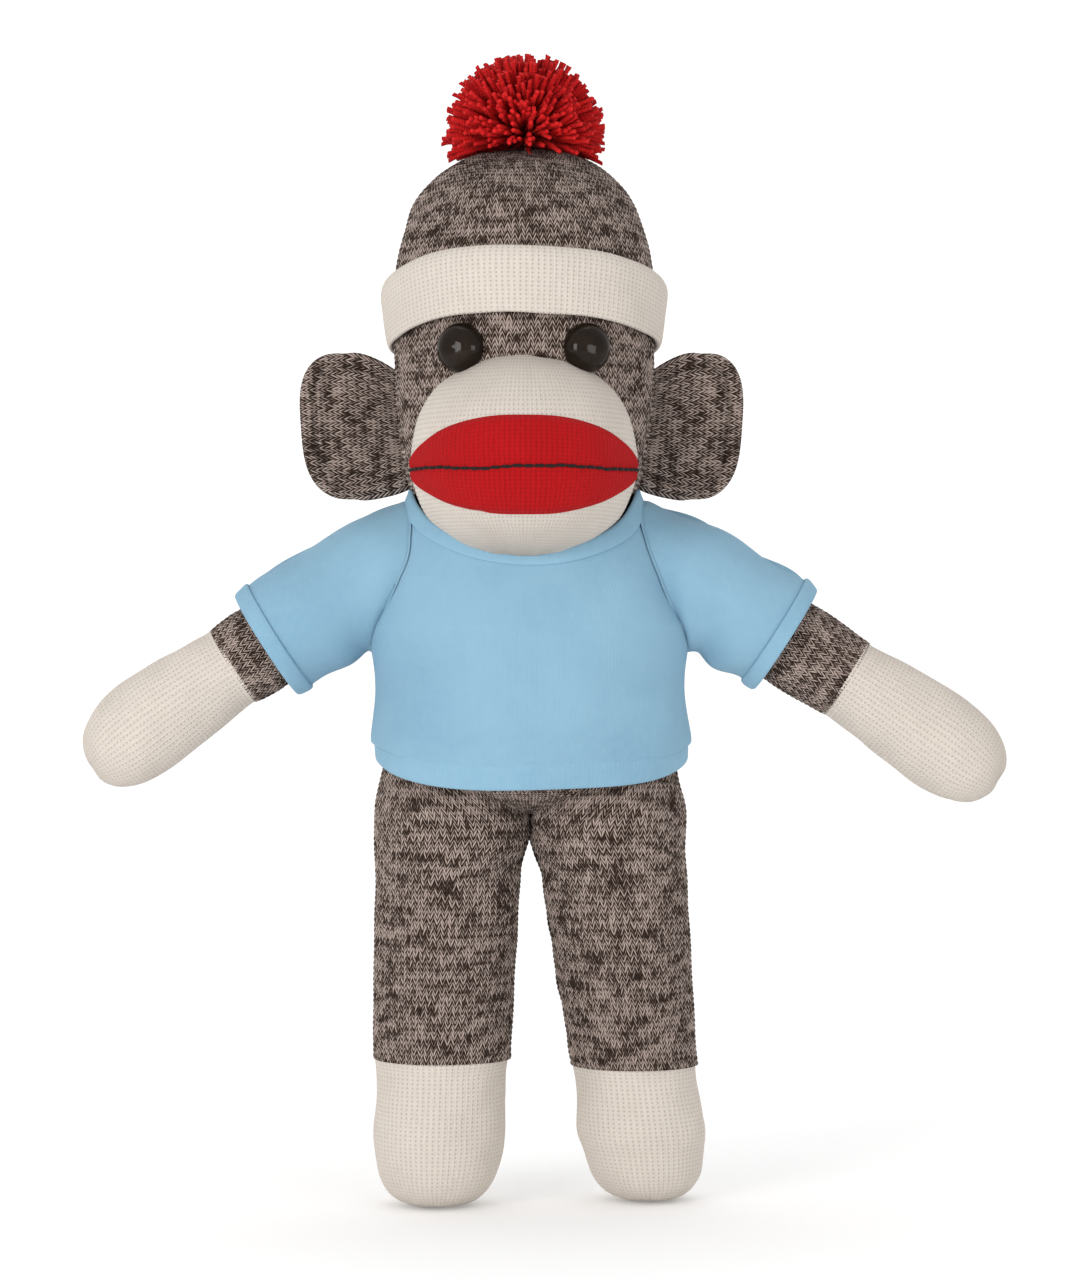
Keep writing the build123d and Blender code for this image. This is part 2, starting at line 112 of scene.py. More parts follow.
def curve_through(points, count):
    """A smooth curve through a few points, evenly spaced along its length."""
    points = np.array(points, float)
    padded = np.vstack([2 * points[0] - points[1], points, 2 * points[-1] - points[-2]])
    dense = []
    for i in range(len(points) - 1):
        a, b, c, d = padded[i : i + 4]
        t = np.linspace(0, 1, CURVE_STEPS, endpoint=False)[:, None]
        slope, square, cube = c - a, 2 * a - 5 * b + 4 * c - d, 3 * b - a - 3 * c + d
        dense.append(0.5 * (2 * b + slope * t + square * t**2 + cube * t**3))
    dense = np.vstack([*dense, points[-1:]])
    run = np.concatenate([[0], np.cumsum(np.linalg.norm(np.diff(dense, axis=0), axis=1))])
    at = np.linspace(0, run[-1], count)
    return np.stack([np.interp(at, run, dense[:, k]) for k in range(dense.shape[1])], axis=1), run[-1]


def at_share(line, t):
    """Each coordinate of a curve's points at the shares t of its length."""
    shares = np.linspace(0, 1, len(line))
    return [np.interp(t, shares, coordinate) for coordinate in line.T]


def normals(points, closed):
    if closed:
        across = np.roll(points, -1, axis=1) - np.roll(points, 1, axis=1)
    else:
        across = np.gradient(points, axis=1)
    return unit(np.cross(across, np.gradient(points, axis=0)))


def stitch_height(u, v):
    """Stocking stitch from 0 to 1: each wale is a column of Vs, with a groove between wales."""
    m = np.abs(u % 1 - 0.5) * 2
    s = (v - LEG_SLOPE * m) % 1
    across = 1 - np.abs(2 * m - 1) ** LEG_ROUND
    return across * (0.35 + 2.6 * s * (1 - s))


def lumps(u, v, seed):
    """Slow unevenness of stuffing, about -1 to 1."""
    draw = np.random.default_rng(seed)
    total = 0
    for _ in range(5):
        a, b = draw.uniform(0.02, 0.09, 2)
        across = np.sin(u * a * TAU + draw.uniform(0, TAU))
        total = total + across * np.sin(v * b * TAU + draw.uniform(0, TAU))
    return total / 2.5


def add_object(mesh, material):
    """Puts a smooth-shaded mesh in the scene as a piece of the same name."""
    mesh.polygons.foreach_set("use_smooth", np.ones(len(mesh.polygons), bool))
    mesh.materials.append(material)
    mesh.update()
    obj = bpy.data.objects.new(mesh.name, mesh)
    bpy.context.collection.objects.link(obj)
    return obj


def piece_from_grid(name, points, u, v, material, closed=True, caps=(False, False)):
    """A mesh over a grid of rows and columns, with its stitch coordinates as a UV map."""
    rows, cols = points.shape[:2]
    mesh = bpy.data.meshes.new(name)
    index = np.arange(rows * cols).reshape(rows, cols)
    right = np.roll(index, -1, axis=1) if closed else index[:, 1:]
    left = index if closed else index[:, :-1]
    quads = np.stack([left[:-1], right[:-1], right[1:], left[1:]], axis=-1).reshape(-1, 4)
    faces = quads.tolist()
    if caps[0]:
        faces.append(index[0, ::-1].tolist())
    if caps[1]:
        faces.append(index[-1].tolist())
    mesh.from_pydata((points.reshape(-1, 3) * MM).tolist(), [], faces)
    wide = left.shape[1]
    uu = np.broadcast_to(u, (rows, wide + 1))
    vv = np.broadcast_to(v, (rows, wide + 1))
    first, last = slice(None, -1), slice(1, None)
    corners = [(first, first), (first, last), (last, last), (last, first)]
    corners = [(uu[row, col], vv[row, col]) for row, col in corners]
    coords = np.stack([np.stack(c, axis=-1) for c in corners], axis=2).reshape(-1, 2)
    layer = mesh.uv_layers.new(name="stitches")
    flat = np.zeros((len(mesh.loops), 2))
    flat[: len(coords)] = coords
    layer.data.foreach_set("uv", flat.ravel())
    return add_object(mesh, material)


def mesh_from_faces(name, vertices, faces, material):
    mesh = bpy.data.meshes.new(name)
    mesh.from_pydata((np.asarray(vertices) * MM).tolist(), [], faces)
    return add_object(mesh, material)


def counts(around, length, fine):
    """Whole wales round a form and courses along it, and the mesh's columns and rows for them."""
    wale, course = (FINE_WALE, FINE_COURSE) if fine else (WALE, COURSE)
    wales, courses = max(8, round(around / wale)), length / course
    return wales, courses, wales * PER_WALE, max(6, round(courses * PER_COURSE))


def knit_tube(name, section, around, length, material, fine=False, caps=(True, True), lump=0.5, seed=1,
              closed=True):
    """A knitted skin. section(t, phi) gives points for rows t from 0 to 1 and columns phi from 0 to 1."""
    wales, courses, cols, rows = counts(around, length, fine)
    phi = np.linspace(0, 1, cols, endpoint=False) if closed else np.linspace(0, 1, cols + 1)
    t = np.linspace(0, 1, rows + 1)
    base = section(t[:, None], phi[None, :])
    u, v = phi[None, :] * wales, t[:, None] * courses
    out = normals(base, closed)
    relief = FINE_RELIEF if fine else KNIT_RELIEF
    ends = smooth01(np.minimum(t, 1 - t)[:, None] * 12) if any(caps) else 1.0  # no lumps at a closed end
    base = base + out * (stitch_height(u, v) * relief + lumps(u, v, seed) * lump * ends)[..., None]
    uu = np.linspace(0, wales, cols + 1)[None, :]
    return piece_from_grid(name, base, uu, v, material, closed, caps)


def turned_section(points, centre, axis_x=(1, 0, 0), axis_y=(0, 1, 0), axis_z=(0, 0, 1), squash=None):
    """A section function for a form turned round an axis, from (radius, along) points."""
    line, length = curve_through(points, 400)
    ax, ay, az = (np.array(a, float) for a in (axis_x, axis_y, axis_z))

    def section(t, phi):
        r, s = at_share(line, t)
        angle = phi * TAU
        x, y = r * np.cos(angle), r * np.sin(angle)
        if squash:
            x, y = squash(x, y, s)
        return np.array(centre) + x[..., None] * ax + y[..., None] * ay + (s + 0 * angle)[..., None] * az

    return section, length


# Materials


def new_material(name):
    material = bpy.data.materials.new(name)
    material.use_nodes = True
    tree = material.node_tree
    return material, tree, tree.nodes["Principled BSDF"]


class Wires:
    """Short calls for node maths."""

    def __init__(self, tree):
        self.tree = tree

    def node(self, kind, **settings):
        made = self.tree.nodes.new(kind)
        for key, value in settings.items():
            setattr(made, key, value)
        return made

    def link(self, a, b):
        self.tree.links.new(a, b)

    def fill(self, sockets, values):
        """Sets each socket to a number, or links it to another node's output."""
        for socket, value in zip(sockets, values):
            if isinstance(value, (int, float)):
                socket.default_value = value
            else:
                self.link(value, socket)

    def math(self, operation, *values):
        made = self.node("ShaderNodeMath", operation=operation)
        self.fill(made.inputs, values)
        return made.outputs[0]

    def times(self, a, b):
        return self.math("MULTIPLY", a, b)

    def plus(self, a, b):
        return self.math("ADD", a, b)

    def minus(self, a, b):
        return self.math("SUBTRACT", a, b)

    def stitches(self):
        uv = self.node("ShaderNodeUVMap", uv_map="stitches")
        split = self.node("ShaderNodeSeparateXYZ")
        self.link(uv.outputs[0], split.inputs[0])
        return split.outputs[0], split.outputs[1]

    def join(self, x, y, z=0.0):
        made = self.node("ShaderNodeCombineXYZ")
        self.fill(made.inputs, (x, y, z))
        return made.outputs[0]

    def noise(self, vector, scale, detail=2.0):
        made = self.node("ShaderNodeTexNoise")
        made.inputs["Scale"].default_value = scale
        made.inputs["Detail"].default_value = detail
        self.link(vector, made.inputs["Vector"])
        return made.outputs[0]

    def white(self, vector):
        made = self.node("ShaderNodeTexWhiteNoise", noise_dimensions="3D")
        self.link(vector, made.inputs["Vector"])
        return made.outputs[0]

    def blend(self, factor, a, b):
        made = self.node("ShaderNodeMix", data_type="RGBA")
        self.link(factor, made.inputs[0])
        for socket, value in ((made.inputs[6], a), (made.inputs[7], b)):
            if isinstance(value, tuple):
                socket.default_value = (*value, 1.0)
            else:
                self.link(value, socket)
        return made.outputs[2]

    def ramp(self, value, low, high):
        made = self.node("ShaderNodeMapRange", interpolation_type="SMOOTHSTEP")
        self.link(value, made.inputs[0])
        made.inputs[1].default_value = low
        made.inputs[2].default_value = high
        return made.outputs[0]

    def bump(self, shader, height, distance, strength=1.0):
        made = self.node("ShaderNodeBump")
        made.inputs["Strength"].default_value = strength
        made.inputs["Distance"].default_value = distance
        self.link(height, made.inputs["Height"])
        self.link(made.outputs[0], shader.inputs["Normal"])

    def object_coords(self):
        return self.node("ShaderNodeTexCoord").outputs["Object"]


def stitch_nodes(wires):
    """Nodes for a stitch: place across the wale, phase along a leg, and the leg's own number."""
    u, v = wires.stitches()
    m = wires.times(wires.math("ABSOLUTE", wires.minus(wires.math("FRACT", u), 0.5)), 2.0)
    slid = wires.minus(v, wires.times(m, LEG_SLOPE))
    s = wires.math("FRACT", slid)
    half = wires.math("FLOOR", wires.times(u, 2.0))
    leg = wires.join(half, wires.math("FLOOR", slid))
    round_leg = wires.times(wires.times(s, wires.minus(1.0, s)), 4.0)
    off_centre = wires.math("ABSOLUTE", wires.minus(wires.times(m, 2.0), 1.0))
    edge = wires.math("POWER", off_centre, LEG_ROUND)
    height = wires.times(wires.minus(1.0, edge), round_leg)
    return u, v, s, leg, height


def soft_shader(shader, roughness, sheen, tint):
    shader.inputs["Roughness"].default_value = roughness
    shader.inputs["Specular IOR Level"].default_value = 0.2
    shader.inputs["Sheen Weight"].default_value = sheen
    shader.inputs["Sheen Roughness"].default_value = 0.5
    shader.inputs["Sheen Tint"].default_value = (*tint, 1.0)


def marled_material():
    """Two-ply yarn, one ply brown and one cream, knitted in stocking stitch, with painted shade in the low
    parts of the stitch relief.
    """
    material, tree, shader = new_material("marled_knit")
    wires = Wires(tree)
    u, v, s, leg, height = stitch_nodes(wires)
    blotch = wires.noise(wires.join(wires.times(u, 0.22), wires.times(v, 0.5)), 1.0, 3.0)
    each = wires.white(leg)
    fibre = wires.noise(wires.join(wires.times(u, 3.0), wires.times(v, 9.0)), 1.0, 3.0)
    lean = wires.plus(wires.times(wires.minus(blotch, 0.5), 1.5), wires.times(wires.minus(each, 0.5), 0.55))
    ply = wires.plus(wires.minus(s, 0.47), lean)
    ply = wires.plus(ply, wires.times(wires.minus(fibre, 0.5), 0.35))
    light = wires.ramp(ply, -0.02, 0.14)
    dark_brown = wires.blend(fibre, (0.010, 0.005, 0.003), (0.045, 0.024, 0.016))
    cream = wires.blend(fibre, (0.29, 0.225, 0.195), (0.56, 0.465, 0.42))
    colour = wires.blend(light, dark_brown, cream)
    # Painted shade: where the stitch relief is low, between wales and between legs, each ply turns to a
    # darker copy of itself.
    groove_shade = wires.ramp(height, 0.0, 0.45)
    colour = wires.blend(groove_shade, wires.blend(light, (0.004, 0.002, 0.001), (0.08, 0.052, 0.040)), colour)
    wires.link(colour, shader.inputs["Base Color"])
    relief = wires.plus(height, wires.times(fibre, 0.25))
    wires.bump(shader, relief, 0.0006, 0.75)
    soft_shader(shader, 0.95, 0.04, (0.9, 0.8, 0.72))
    return material


def fine_material(name, pale, deep, hole_shade, sheen_tint):
    """Fine plain knit with small holes between its stitches, painted as dark spots of shade."""
    material, tree, shader = new_material(name)
    wires = Wires(tree)
    u, v, _, leg, height = stitch_nodes(wires)
    each = wires.white(leg)
    slow = wires.noise(wires.join(wires.times(u, 0.08), wires.times(v, 0.08)), 1.0, 3.0)
    fibre = wires.noise(wires.join(wires.times(u, 4.0), wires.times(v, 8.0)), 1.0, 3.0)
    tone = wires.plus(wires.times(slow, 0.6), wires.times(wires.plus(each, fibre), 0.25))
    colour = wires.blend(tone, deep, pale)
    # Painted shade: dark spots between the two legs of each stitch stand in for the shadow inside the small
    # holes there.
    near = wires.math("ABSOLUTE", wires.minus(wires.math("FRACT", u), 0.5))
    seam = wires.math("POWER", wires.minus(1.0, wires.times(near, 2.0)), 3.0)
    pin = wires.math("POWER", wires.math("ABSOLUTE", wires.math("SINE", wires.times(v, math.pi))), 6.0)
    colour = wires.blend(wires.times(wires.times(seam, pin), 0.8), colour, hole_shade)
    wires.link(colour, shader.inputs["Base Color"])
    relief = wires.minus(height, wires.times(seam, 0.6))
    wires.bump(shader, wires.plus(relief, wires.times(fibre, 0.3)), 0.00035, 0.6)
    soft_shader(shader, 0.9, 0.05, sheen_tint)
    return material


def jersey_material(name, ribs):
    """Light blue cotton jersey: very fine wales, soft mottling, and ribs or stitching rows on the bands."""
    material, tree, shader = new_material(name)
    wires = Wires(tree)
    u, v = wires.stitches()
    place = wires.object_coords()
    slow = wires.noise(place, 28.0, 3.0)
    mottled = wires.noise(place, 420.0, 4.0)
    colour = wires.blend(wires.ramp(slow, 0.3, 0.7), (0.170, 0.325, 0.45), (0.205, 0.375, 0.50))
    colour = wires.blend(wires.times(mottled, 0.35), colour, (0.28, 0.44, 0.55))
    wires.link(colour, shader.inputs["Base Color"])
    gauge = 1.0 if ribs else 2.0
    wale = wires.math("ABSOLUTE", wires.math("SINE", wires.times(u, math.pi * gauge)))
    course = wires.math("ABSOLUTE", wires.math("SINE", wires.times(v, math.pi * 2.2)))
    relief = wires.plus(wale, wires.times(course, 0.5))
    relief = wires.plus(relief, wires.times(mottled, 0.8))
    wires.bump(shader, relief, 0.00012, 0.5)
    soft_shader(shader, 0.92, 0.12, (0.75, 0.9, 1.0))
    return material


def yarn_material():
    """Red wool: each strand varies, with painted shade making it darker towards the ball's middle."""
    material, tree, shader = new_material("red_yarn")
    wires = Wires(tree)
    u, v = wires.stitches()
    strand = wires.white(wires.join(wires.math("FLOOR", u), 0.0))
    place = wires.object_coords()
    fibre = wires.noise(place, 900.0, 3.0)
    deep = wires.blend(strand, (0.20, 0.0, 0.0015), (0.34, 0.001, 0.003))
    bright = wires.blend(strand, (0.46, 0.002, 0.004), (0.66, 0.012, 0.012))
    # Painted shade: each strand goes from a shaded red at its root in the ball's middle to a lit red at its
    # tip.
    colour = wires.blend(wires.ramp(v, 0.1, 0.95), deep, bright)
    wires.link(wires.blend(wires.times(fibre, 0.35), colour, (0.28, 0.0, 0.002)), shader.inputs["Base Color"])
    twist = wires.math("SINE", wires.times(wires.plus(wires.times(v, 30.0), u), TAU))
    wires.bump(shader, wires.plus(twist, fibre), 0.0002, 0.6)
    soft_shader(shader, 0.85, 0.06, (1.0, 0.2, 0.15))
    return material


def eye_material():
    """Moulded black plastic with a faint warm bloom and fine scuffs."""
    material, tree, shader = new_material("eye_plastic")
    wires = Wires(tree)
    place = wires.object_coords()
    cloud = wires.noise(place, 160.0, 3.0)
    wires.link(wires.blend(cloud, (0.004, 0.003, 0.0025), (0.020, 0.012, 0.007)), shader.inputs["Base Color"])
    scuffs = wires.times(wires.noise(place, 700.0, 4.0), 0.07)
    wires.link(wires.plus(0.05, scuffs), shader.inputs["Roughness"])
    shader.inputs["Specular IOR Level"].default_value = 0.15
    return material


def plain_textured(name, dark, light, roughness, scale):
    """Thread and hidden hardware: two tones, with a fine grain."""
    material, tree, shader = new_material(name)
    wires = Wires(tree)
    grain = wires.noise(wires.object_coords(), scale, 4.0)
    wires.link(wires.blend(grain, dark, light), shader.inputs["Base Color"])
    wires.bump(shader, grain, 0.0001, 0.4)
    shader.inputs["Roughness"].default_value = roughness
    shader.inputs["Specular IOR Level"].default_value = 0.15
    return material


MARLED = marled_material()
CREAM = fine_material(
    "cream_knit", pale=(0.66, 0.61, 0.555), deep=(0.53, 0.48, 0.43), hole_shade=(0.26, 0.19, 0.15),
    sheen_tint=(1.0, 0.95, 0.9),
)
RED = fine_material(
    "red_knit", pale=(0.44, 0.003, 0.005), deep=(0.32, 0.001, 0.003), hole_shade=(0.07, 0.0, 0.001),
    sheen_tint=(1.0, 0.2, 0.2),
)
JERSEY = jersey_material("jersey", False)
RIB = jersey_material("jersey_rib", True)
YARN = yarn_material()
EYE = eye_material()
THREAD = plain_textured("black_thread", (0.004, 0.003, 0.003), (0.025, 0.02, 0.02), 0.7, 2500.0)
WASHER = plain_textured("washer_plastic", (0.55, 0.55, 0.55), (0.75, 0.75, 0.74), 0.5, 900.0)


def finish_piece(obj, body, nodes):
    """Hides the CAD nodes that a piece stands for, and rides it on a body if one is given."""
    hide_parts(*nodes)
    if body:
        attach(obj, body)


# Head, hat and pom-pom

CROWN_TOP = box("hat_crown")[1][2]
CROWN_R = 44.0  # sets how many wales the crown has
CUFF_DROP = 2.0  # the cuff's middle hangs this far below the CAD one's
CUFF_TILT = math.radians(10.0)
CUFF_R, CUFF_MID_R = 48.5, 48.8  # for its wales, and the cloth's middle round the fold
HEAD_AXIS = np.array([NECK[0], NECK[1], 0.0])
HEAD_LINE = [
    (16.0, HEAD_LOW[2] + 0.2),
    (34.0, HEAD_LOW[2] + 2.0),
    (40.0, HEAD_LOW[2] + 9.0),
    (43.2, HEAD_LOW[2] + 19.0),
    (45.4, HEAD_LOW[2] + 36.0),
    (HEAD_R, HEAD_LOW[2] + 55.0),
    (45.4, HEAD_LOW[2] + 73.0),
    (44.0, HEAD_LOW[2] + 86.0),
]
CROWN_LINE = [
    (46.6, CROWN_TOP - 57.0),
    (46.0, CROWN_TOP - 48.0),
    (44.8, CROWN_TOP - 39.0),
    (42.4, CROWN_TOP - 29.0),
    (38.3, CROWN_TOP - 18.5),
    (31.0, CROWN_TOP - 9.5),
    (19.0, CROWN_TOP - 3.0),
    (6.0, CROWN_TOP - 0.6),
    (1.0, CROWN_TOP - 0.4),
]


def make_head():
    section, length = turned_section(HEAD_LINE, HEAD_AXIS)
    around = TAU * HEAD_R
    skin = knit_tube("head_knit", section, around, length, MARLED, caps=(True, False), lump=0.45, seed=3)
    finish_piece(skin, "head", ["head_skin", "head_stuffing"])
    section, length = turned_section(CROWN_LINE, HEAD_AXIS)
    around = TAU * CROWN_R
    crown = knit_tube("hat_crown_knit", section, around, length, MARLED, caps=(False, True), lump=0.55,
                      seed=5)
    finish_piece(crown, "head", ["hat_crown"])


def make_cuff():
    """The turned-up cuff: a folded band whose lower fold stands proud, tipped up in front."""
    low, high = box("hat_cuff")
    middle = np.array([NECK[0], NECK[1], (low[2] + high[2]) / 2 - CUFF_DROP])
    outline = [
        (45.4, 8.5),
        (47.4, 11.3),
        (49.6, 10.6),
        (50.9, 7.2),
        (50.3, 1.0),
        (49.4, -6.0),
        (48.6, -11.0),
        (47.3, -12.2),
        (46.2, -10.0),
    ]
    line, length = curve_through(outline, CURVE_POINTS)

    def section(t, phi):
        r, s = at_share(line, t)
        angle = -phi * TAU
        edge = np.sin(angle * 3 + 1.0) * 0.5 + np.sin(angle * 5) * 0.35
        x, y = r * np.cos(angle), r * np.sin(angle)
        z = s + edge
        front = y * math.cos(CUFF_TILT) + z * math.sin(CUFF_TILT)
        up = z * math.cos(CUFF_TILT) - y * math.sin(CUFF_TILT)
        return middle + np.stack([x, front, up], axis=-1)

    around = TAU * CUFF_R
    cuff = knit_tube("hat_cuff_knit", section, around, length, CREAM, fine=True, caps=(False, False),
                     lump=0.25, seed=6)
    finish_piece(cuff, "head", ["hat_cuff"])


def strands(start, directions, lengths, sides=5, steps=6):
    """Tapered yarn ends that start near a point, bend a little and end frayed."""
    vertices, faces, uv = [], [], []
    t = np.linspace(0, 1, steps)
    for i, (way, length) in enumerate(zip(directions, lengths)):
        side = unit(np.cross(way, [0.3, 0.9, 0.2]))
        other = np.cross(way, side)
        bend = side * rng.normal(0, 0.09) + other * rng.normal(0, 0.09)
        path = start + way * (t[:, None] * length) + bend * (t[:, None] ** 2 * length)
        thick = STRAND_R * (0.55 + 0.55 * t) * (1 - 0.35 * (t > 0.95))
        first = len(vertices)
        for j in range(steps):
            for k in range(sides):
                angle = TAU * k / sides + t[j] * 5
                vertices.append(path[j] + thick[j] * (side * math.cos(angle) + other * math.sin(angle)))
                uv.append((i + 0.5, t[j]))
        for j in range(steps - 1):
            for k in range(sides):
                a, b = first + j * sides + k, first + j * sides + (k + 1) % sides
                faces.append([a, b, b + sides, a + sides])
        faces.append([first + (steps - 1) * sides + k for k in range(sides)])
        faces.append([first + k for k in reversed(range(sides))])
    return vertices, faces, uv


STRANDS, STRAND_R = 900, 1.15


def make_pompom():
    low, high = box("pompom_yarn")
    knot = joint_at("pompom_flop")
    golden = math.pi * (3 - math.sqrt(5))
    rise = np.linspace(-0.22, 1.0, STRANDS)
    turn = np.arange(STRANDS) * golden
    flat = np.sqrt(np.maximum(0, 1 - rise**2))
    directions = np.stack([flat * np.cos(turn), flat * np.sin(turn), rise], axis=1)
    directions = unit(directions + rng.normal(0, 0.07, directions.shape))
    reach = np.array([(high[0] - low[0]) / 2 + 1.5, (high[1] - low[1]) / 2 + 1.5, high[2] - knot[2] + 0.5])
    lengths = 1 / np.linalg.norm(directions / reach, axis=1) * rng.uniform(0.86, 1.03, STRANDS)
    centre = knot + np.array([0, 0, 1.5])
    vertices, faces, uv = strands(centre, directions, lengths)
    ball = mesh_from_faces("pompom_strands", vertices, faces, YARN)
    layer = ball.data.uv_layers.new(name="stitches")
    corner = np.zeros(len(ball.data.loops), int)
    ball.data.loops.foreach_get("vertex_index", corner)
    layer.data.foreach_set("uv", np.array(uv)[corner].ravel())
    finish_piece(ball, "pompom", ["pompom_yarn", "pompom_tie"])


# Face

MUZZLE_LOW, MUZZLE_HIGH = box("muzzle_skin")
MUZZLE_Z = MUZZLE_LOW[2] + 32.6
MUZZLE_UP, MUZZLE_DOWN = MUZZLE_HIGH[2] - MUZZLE_Z + 3.0, MUZZLE_Z - MUZZLE_LOW[2] + 2.0
MUZZLE_W = (MUZZLE_HIGH[0] - MUZZLE_LOW[0]) / 2 - 0.7
MUZZLE_BACK = 22.0  # the muzzle's flat back, inside the head, this far in front of its axis
MUZZLE_OUT = NECK[1] - MUZZLE_BACK - MUZZLE_LOW[1]
MUZZLE_SPAN = math.radians(112)  # how far it goes round from the front to each side
MUZZLE_RUN = 105.0  # over its front from top to bottom, which sets its courses


def muzzle_point(alpha, z):
    """A point of the muzzle's surface at an angle round the front and a height."""
    up = np.clip((z - MUZZLE_Z) / MUZZLE_UP, 0, 1)
    down = np.clip((MUZZLE_Z - z) / MUZZLE_DOWN, 0, 1)
    wide = np.where(z > MUZZLE_Z, (1 - up**2.05) ** (1 / 2.05), (1 - down**2.15) ** (1 / 2.05))
    deep = np.where(z > MUZZLE_Z, (1 - up**1.9) ** (1 / 1.7), (1 - down**2.4) ** (1 / 2.2))
    x = NECK[0] + MUZZLE_W * wide * np.sin(alpha)
    y = NECK[1] - MUZZLE_BACK * smooth01(deep * 4) - MUZZLE_OUT * deep * np.cos(alpha)
    return np.stack([x, y + 0 * z, z + 0 * alpha], axis=-1)


def make_muzzle():
    def section(t, phi):
        lean = (t - 0.5) * math.pi
        z = np.where(lean > 0, MUZZLE_Z + MUZZLE_UP * np.sin(lean), MUZZLE_Z + MUZZLE_DOWN * np.sin(lean))
        z = np.clip(z, MUZZLE_Z - MUZZLE_DOWN * 0.9995, MUZZLE_Z + MUZZLE_UP * 0.9995)
        alpha = (phi - 0.5) * 2 * MUZZLE_SPAN
        return muzzle_point(alpha + 0 * t, z + 0 * phi)

    around = 2 * MUZZLE_SPAN * (MUZZLE_W + MUZZLE_OUT) / 2
    muzzle = knit_tube("muzzle_knit", section, around, MUZZLE_RUN, CREAM, fine=True, caps=(False, False),
                       lump=0.3, seed=8, closed=False)
    finish_piece(muzzle, "head", ["muzzle_skin", "muzzle_stuffing"])


LIPS_LOW, LIPS_HIGH = box("lips")
LIPS_Z = (LIPS_LOW[2] + LIPS_HIGH[2]) / 2 - 2.6
LIPS_H = (LIPS_HIGH[2] - LIPS_LOW[2]) / 2
LIPS_REACH = math.radians(80)
LIPS_WALES_WIDE, LIPS_WIDE = 2 * LIPS_REACH * 46, 2 * LIPS_REACH * 42  # for its wales, and as flat cloth
LIPS_TALL = 2 * LIPS_H + 4


def lips_point(across, tau, lift):
    """A point of the lips: across and tau from -1 to 1, lifted off the muzzle."""
    alpha = across * LIPS_REACH
    half = LIPS_H * (1 - np.abs(np.sin(alpha) / math.sin(LIPS_REACH)) ** 2.6) ** 0.5
    z = LIPS_Z + tau * half
    step = 0.01
    here = muzzle_point(alpha, z)
    side = muzzle_point(alpha + step, z) - muzzle_point(alpha - step, z)
    rise = muzzle_point(alpha, z + step) - muzzle_point(alpha, z - step)
    out = unit(np.cross(side, rise))
    return here + out * lift[..., None]


def make_lips():
    def section(t, phi):
        across, tau = (phi * 2 - 1) * 0.999 + 0 * t, (t * 2 - 1) + 0 * phi
        rim = smooth01((1 - np.abs(tau)) * 7) * smooth01((1 - np.abs(across)) * 16)
        crease = np.exp(-((tau * 5.5) ** 2)) * 0.55
        return lips_point(across, tau, 0.25 + 1.15 * rim - crease)

    lips = knit_tube("lips_knit", section, LIPS_WALES_WIDE, LIPS_TALL, RED, fine=True, caps=(False, False),
                     lump=0.12, seed=9, closed=False)
    finish_piece(lips, "head", ["lips"])


def capsule(path, radius, sides=6):
    """Vertices and faces of a rounded tube along a short path."""
    vertices, faces = [], []
    way = unit(np.gradient(path, axis=0))
    for j, at in enumerate(path):
        side = unit(np.cross(way[j], [0.1, 1.0, 0.1]))
        other = np.cross(way[j], side)
        thin = radius * math.sqrt(max(0.04, 1 - (2 * j / (len(path) - 1) - 1) ** 4))
        turns = np.arange(sides) * TAU / sides
        vertices += [at + thin * (side * math.cos(turn) + other * math.sin(turn)) for turn in turns]
    for j in range(len(path) - 1):
        for k in range(sides):
            a, b = j * sides + k, j * sides + (k + 1) % sides
            faces.append([a, b, b + sides, a + sides])
    faces.append(list(reversed(range(sides))))
    faces.append([(len(path) - 1) * sides + k for k in range(sides)])
    return vertices, faces


def make_mouth():
    """Backstitches of black thread along the lips' middle."""
    count = 30
    vertices, faces = [], []
    ends = np.linspace(-0.985, 0.985, count + 1)
    for i in range(count):
        across = np.linspace(ends[i] - 0.004, ends[i + 1] + 0.004, 7)
        wave = 0.022 * math.sin(i * 0.45) - 0.05 + rng.normal(0, 0.008)
        lift = 0.95 + 0.35 * np.sin(np.linspace(0, math.pi, 7))
        made, quads = capsule(lips_point(across, wave + 0 * across, lift), 0.58)
        faces += [[k + len(vertices) for k in face] for face in quads]
        vertices += made
    mouth = mesh_from_faces("mouth_stitches", vertices, faces, THREAD)
    finish_piece(mouth, "head", ["mouth_thread"])


EYE_NEARER, EYE_DROP = 0.93, 1.5  # nearer the middle and lower than the CAD eyes
EYE_LINE = [
    (3.0, -4.0),
    (7.8, -1.2),
    (8.6, 0.1),
    (8.7, 1.0),
    (8.1, 3.1),
    (6.4, 5.4),
    (3.6, 6.9),
    (0.15, 7.4),
]


def make_eye(side):
    low, high = box(f"{side}_eye")
    across = ((low[0] + high[0]) / 2 - NECK[0]) * EYE_NEARER
    out = unit(np.array([across, -math.sqrt(HEAD_R**2 - across**2), 0.0]))
    up = np.array([0, 0, 1.0])
    centre = np.array([NECK[0], NECK[1], (low[2] + high[2]) / 2 - EYE_DROP]) + out * (HEAD_R - 0.3)
    section, _ = turned_section(EYE_LINE, centre, np.cross(up, out), up, out)
    rows, cols = 48, 64
    t, phi = np.linspace(0, 1, rows)[:, None], np.linspace(0, 1, cols, endpoint=False)[None, :]
    u = np.zeros((1, cols + 1))
    eye = piece_from_grid(f"{side}_eye_dome", section(t, phi), u, t, EYE, True, (True, True))
    finish_piece(eye, "head", [f"{side}_eye"])
    washer = frame["nodes"][f"{side}_eye_washer"].data.materials
    washer.clear()
    washer.append(WASHER)


def head_radius(z):
    """The head's outer radius at a height."""
    radii, heights = zip(*HEAD_LINE)
    return np.interp(z, heights, radii)


EAR_LEAN = math.radians(4)
EAR_IN = 2.5  # the ear starts this far inside its joint


